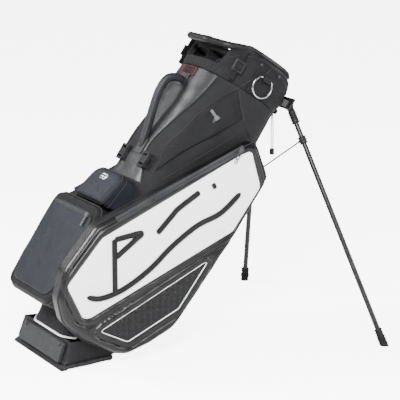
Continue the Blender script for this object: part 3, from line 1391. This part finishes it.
    def emblem_rope(self, height: float) -> None:
        """The raised emblem in thick cord: a flag, a ball's flight and the lie of a fairway."""
        strokes = []
        for stroke in self.emblem:
            flat = self.panel_point(np.array(stroke, float))
            line = flowing(flat, 30 + 14 * len(stroke)) if len(stroke) > 3 else resampled(flat, 60)
            if len(stroke) == 3:
                line = flowing(np.vstack([flat[:1], resampled(flat, 9)[1:-1], flat[-1:]]), 70)
            path = self.place(self.drawn_in(line), np.full(len(line), height + 2.2))
            end = np.linspace(-1, 1, len(line))
            swell = np.sqrt(np.maximum(1 - np.abs(end) ** 40, 0.05))
            section = circle(self.rope * self.share, 16, 0.62)
            strokes.append(carried(path, section, (0, self.side, 0), swell=swell))
        piece = placed(joined(strokes), f"emblem_{self.handed}", ROPE)
        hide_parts("panel_emblems")

    def zip(self) -> None:
        """The grey welded zip along the panel's upper edge, with its coil."""
        flat = self.drawn_in(self.zip_ends)
        ends = self.place(flat, np.full(2, self.outer + 0.9))
        piece = SIDE_ZIP.lay(ends, (0, self.side, 0), "side_zip_{}_" + self.handed)
        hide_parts("zip_tapes")


@dataclass
class SpinePockets:
    """The ball pocket and the accessory pocket on the spine."""

    rear: float = -231.0
    foot: float = -148.0
    half: float = 127.0
    low: float = 44.0
    high: float = 314.0
    panel: tuple = ((-112, 66), (-112, 290), (112, 290), (112, 66))
    small_half: float = 72.0
    small_low: float = 323.0
    small_high: float = 412.0

    @staticmethod
    def rearward(flat: Array, height: Array) -> Array:
        """Turns points seen from the rear, across and up, and depths behind the axis into points."""
        return np.stack([-height, flat[..., 0], flat[..., 1]], -1)

    def build(self) -> None:
        """Makes both pockets."""
        corners = ((-self.half, self.low), (-self.half, self.high), (self.half, self.high),
                   (self.half, self.low))
        edge = outline(corners, (44, 44, 44, 44), 300)
        face = outline(self.panel, (38, 38, 38, 38), 260)

        def soft(flat: Array, deep: Array) -> Array:
            return 2.0 * hump(deep / 15) + folds(flat, deep, 0.9, 24.0)

        body = cushion(edge, self.rearward, -self.foot, -self.rear, 13.0, soft, rings=70)
        placed(body, "ball_pocket_body", POCKET_CLOTH, stands_for=["ball_pocket"])
        smooth = cushion(face, self.rearward, -self.rear - 1.5, -self.rear + 3.4, 3.4,
                         lambda flat, deep: 2.6 * eased(deep / 60) + folds(flat, deep, 0.5, 45.0),
                         rings=60)
        placed(smooth, "ball_pocket_face", SMOOTH_CLOTH, stands_for=["ball_pocket_panel"])
        rims = [edged(self.rearward, line, -self.rear + past, 2.0, (-1, 0, 0), 10)
                for line, past in ((face, 1.0), (edge, -12.0))]
        placed(joined(rims), "ball_pocket_piping", BLACK_PIPING)
        self.zip_arc()
        self.small_pocket()

    def zip_arc(self) -> None:
        """The ball pocket's zip across the top of its face."""
        ends = np.array([(self.rear - 4.6, y, 283.0) for y in (-100.0, 100.0)])
        BALL_ZIP.lay(ends, (-1, 0, 0), "ball_zip_{}")

    def small_pocket(self) -> None:
        """The accessory pocket: a cushion whose face leans in towards its top, piping and badge."""
        corners = ((-self.small_half, self.small_low), (-self.small_half, self.small_high),
                   (self.small_half, self.small_high), (self.small_half, self.small_low))
        edge = outline(corners, (10, 30, 30, 10), 220)

        def lean(flat: Array) -> Array:
            tall = self.small_high - self.small_low
            return 1 - 0.19 * np.clip((flat[..., 1] - self.small_low) / tall, 0, 1)

        def place(flat: Array, height: Array) -> Array:
            deep = 148 + (height - 148) * lean(flat) ** 2
            return self.rearward(flat, deep)

        body = cushion(edge, place, 148.0, 219.0, 12.0,
                       lambda flat, deep: 2.0 * eased(deep / 30) + folds(flat, deep, 0.6, 20.0),
                       rings=46)
        placed(body, "accessory_pocket_body", SMOOTH_CLOTH, stands_for=["accessory_pocket"])
        rims = [edged(place, edge, height, 1.8, (-1, 0, 0), 10) for height in (206.0, 186.0)]
        placed(joined(rims), "accessory_pocket_piping", BLACK_PIPING)
        coil_path = place(edge, np.full(len(edge), 196.0))
        placed(stitched(coil_path, (0, -1, 0.3), 2.0, 1.4, 2.4, closed=True), "accessory_zip_coil",
               BUCKLE_PLASTIC)
        oval = outline(((-17, 381), (-17, 401), (17, 401), (17, 381)), (9.5, 9.5, 9.5, 9.5), 90)
        badge = cushion(oval, place, 214.0, 223.0, 2.0,
                        lambda flat, deep: 1.4 * np.abs(np.sin(flat[:, 0] / 2.2) * np.sin(flat[:, 1] / 2.2))
                        * eased(deep / 4), rings=24)
        placed(badge, "pocket_badge", CHROME)


@dataclass
class UpperZips:
    """The welded zips of the two upper pockets."""

    ends: tuple = ((-71, 125, 653), (-126, 95, 531))
    rise: float = 9.0
    reach: float = 70.0

    def build(self) -> None:
        """Makes a zip on each side."""
        for side in (-1, 1):
            top, foot = (np.array(end, float) * (1, side, 1) for end in self.ends)
            way = unit(top - foot)
            out = unit(np.array((-way[1], way[0], 0.0)) * side)
            middle = (top + foot) / 2 + out * (self.rise + 0.9)
            ends = np.array([middle - self.reach * way, middle + self.reach * way])
            UPPER_ZIP.lay(ends, out, "upper_zip_{}_" + hand(side))


# --- stand --------------------------------------------------------------------------------------

@dataclass
class Stand:
    """Ribs on the legs, the hooks of the push rods and the lock loop."""

    hinge: tuple = (122.0, 81.0, 783.0)
    foot_ground: tuple = (788.0, 349.0)
    clamp_at: float = 92.0
    lug: float = 15.0
    yoke: tuple = (118.0, 20.0, 510.0)
    knob: tuple = (113.0, -30.0, 760.0)
    knob_under: float = 6.4
    strand: tuple = ((1.6, 0.0), (4.6, 26.0), (5.1, 56.0), (4.0, 96.0))
    loop_thick: float = 0.0025

    def leg(self, side: int) -> tuple:
        """The hinge, direction and length of one leg."""
        hinge = np.array(self.hinge) * (1, side, 1)
        foot = AXES.unrow(AXES.plumb(np.array((self.foot_ground[0], side * self.foot_ground[1], 0.0))))
        way = foot - hinge
        return hinge, unit(way), float(np.linalg.norm(way))

    def ribs(self, side: int) -> None:
        """Rings round the knuckle's sleeve, the clamp and the foot of one leg."""
        handed = hand(side)
        hinge, way, length = self.leg(side)
        facing = np.cross(way, (0, 1, 0))
        rings = {"knuckle": ((16, 9.6), (21, 9.8), (26, 9.8), (31, 9.8), (36, 9.8), (43, 10.2)),
                 "clamp": ((84, 10.2), (92, 10.6), (100, 10.2)),
                 "foot": ((length - 42, 9.4), (length - 36, 9.8), (length - 24, 10.3), (length - 18, 10.6))}
        for part, spots in rings.items():
            made = []
            for at, radius in spots:
                turn = turns(40)[:, None]
                side_way = unit(np.cross(way, facing))
                round_way = np.cross(side_way, way)
                loop = hinge + way * at + radius * (np.cos(turn) * side_way + np.sin(turn) * round_way)
                made.append(carried(loop, circle(1.3, 8), way, closed=True))
            finish = RUBBER if part == "foot" else STAND_PLASTIC
            placed(joined(made), f"leg_{part}_ribs_{handed}", finish, body=f"leg_{handed}")

    def hook(self, side: int) -> None:
        """The hooked end of one push rod, from the rod's end into the clamp's lug."""
        handed = hand(side)
        hinge, way, _ = self.leg(side)
        axis = unit(np.cross(way, (0.0, 0.0, -1.0)))
        swing = math.acos(float(way @ np.array((0.0, 0.0, -1.0))))
        shut = np.array((0.0, -side * 1.0, 0.0))
        lug = (shut * math.cos(swing) - np.cross(axis, shut) * math.sin(swing)
               + axis * (axis @ shut) * (1 - math.cos(swing)))
        ball = hinge + way * self.clamp_at + lug * self.lug
        yoke = np.array(self.yoke) * (1, side, 1)
        rod = unit(ball - yoke)
        path = flowing([ball - rod * 17.5, ball - rod * 12, ball - rod * 6, ball - rod * 1.0], 30)
        placed(carried(path, circle(2.0, 12), (0, 1, 0)), f"rod_hook_{handed}", WIRE_STEEL,
               body=f"push_rod_{handed}")

    def lock(self) -> None:
        """The elastic loop: one smooth cord down from the knob, round in the toggle and back up."""
        top = AXES.row(np.array(self.knob)) / MM - np.array((0, 0, self.knob_under))
        down = [(-spread, drop) for spread, drop in self.strand]
        turn = [(-3.6, 104.0), (-2.6, 109.5), (2.6, 109.5), (3.6, 104.0)]
        back = [(spread, drop) for spread, drop in reversed(self.strand)]
        points = [(top + np.array((0, across, -drop))) * MM for across, drop in down + turn + back]
        curve = bpy.data.curves.new("lock_loop_cord", "CURVE")
        curve.dimensions = "3D"
        curve.resolution_u = 12
        curve.bevel_depth = self.loop_thick / 2
        curve.bevel_resolution = 4
        curve.use_fill_caps = True
        spline = curve.splines.new("NURBS")
        spline.points.add(len(points) - 1)
        spline.points.foreach_set("co", np.hstack([points, np.ones((len(points), 1))]).ravel())
        spline.order_u = 3
        spline.use_endpoint_u = True
        made = linked("lock_loop_cord", curve)
        made.data.materials.append(ELASTIC.material())
        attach(made, BODY)
        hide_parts("lock_loop")

    def build(self) -> None:
        """Makes the stand's pieces on both sides."""
        for side in (-1, 1):
            self.ribs(side)
            self.hook(side)
        self.lock()


# --- studio -------------------------------------------------------------------------------------

@dataclass
class Studio:
    """A plain pale floor, soft lights and the camera."""

    azimuth: float = -29.0
    elevation: float = 13.2
    distance: float = 4.6075
    lens: float = 162.0
    target: tuple = (0.0656, 0.0, 0.3444)
    floor_glow: float = 6.0
    floor_half: float = 30.0
    floor_height: float = -0.0004       # just under the feet, so that the two never share a face
    room: float = 0.45
    backdrop: float = 7.0
    lamps: tuple = (("key", (-1.4, -2.4, 2.2), (0, 0, 0.35), 1.1, 330),
                    ("rim", (-2.0, 1.4, 2.0), (0, 0, 0.45), 0.9, 150),
                    ("fill", (2.4, -1.6, 0.9), (0, 0, 0.35), 1.2, 60))

    def floor(self) -> None:
        """A wide pale floor just under the feet."""
        mesh = bpy.data.meshes.new("floor")
        corners = [(x * self.floor_half, y * self.floor_half, self.floor_height)
                   for x, y in ((-1, -1), (1, -1), (1, 1), (-1, 1))]
        mesh.from_pydata(corners, [], [(0, 1, 2, 3)])
        made = linked("floor", mesh)
        paper = bpy.data.materials.new("pale_floor")
        paper.use_nodes = True
        shader = paper.node_tree.nodes["Principled BSDF"]
        shader.inputs["Base Color"].default_value = rgb(0.93, 0.93, 0.93)
        shader.inputs["Roughness"].default_value = 0.9
        nodes = Nodes(paper.node_tree)
        glow = nodes.sum("MULTIPLY", nodes.add("LightPath").outputs["Is Camera Ray"], self.floor_glow)
        paper.node_tree.links.new(glow, shader.inputs["Emission Strength"])
        shader.inputs["Emission Color"].default_value = rgb(1.0, 1.0, 1.0)
        made.data.materials.append(paper)

    @staticmethod
    def lamp(name: str, place: Sequence[float], aim: Sequence[float], size: float, power: float) -> None:
        """A square soft light.

        Args:
            name: the light's name.
            place: where it stands, in metres.
            aim: the point that it faces.
            size: its side in metres.
            power: its power in watts.
        """
        data = bpy.data.lights.new(name, "AREA")
        data.shape = "SQUARE"
        data.size = size
        data.energy = power
        made = linked(name, data)
        made.location = place
        made.rotation_euler = (Vector(aim) - Vector(place)).to_track_quat("-Z", "Y").to_euler()

    def camera(self) -> None:
        """The camera on its sphere round the target, looking at it."""
        turn, lift = math.radians(self.azimuth), math.radians(self.elevation)
        back = Vector((math.sin(turn) * math.cos(lift), -math.cos(turn) * math.cos(lift), math.sin(lift)))
        data = bpy.data.cameras.new("camera")
        data.lens = self.lens
        data.sensor_width = 36.0
        data.clip_end = 100.0
        made = linked("camera", data)
        made.location = Vector(self.target) + back * self.distance
        made.rotation_euler = (-back).to_track_quat("-Z", "Y").to_euler()
        bpy.context.scene.camera = made

    def build(self) -> None:
        """Sets up the floor, world, lights and camera."""
        self.floor()
        world = bpy.data.worlds.new("soft_room")
        bpy.context.scene.world = world
        world.use_nodes = True
        sky = world.node_tree.nodes["Background"]
        sky.inputs[0].default_value = rgb(1.0, 1.0, 1.0)
        nodes = Nodes(world.node_tree)
        seen = nodes.add("LightPath").outputs["Is Camera Ray"]
        world.node_tree.links.new(nodes.between(seen, 0.0, 1.0, self.room, self.backdrop), sky.inputs[1])
        for lamp in self.lamps:
            self.lamp(*lamp)
        self.camera()


def main() -> None:
    """Builds the looks in order."""
    logging.basicConfig(level=logging.INFO, format="%(message)s")
    dress_frame()
    Trunk().build()
    Cuff().build()
    SidePocket(side=1, share=SMALL_POCKET).build()
    SidePocket(side=-1).build()
    SpinePockets().build()
    UpperZips().build()
    Stand().build()
    Studio().build()


if __name__ == "__main__":
    main()
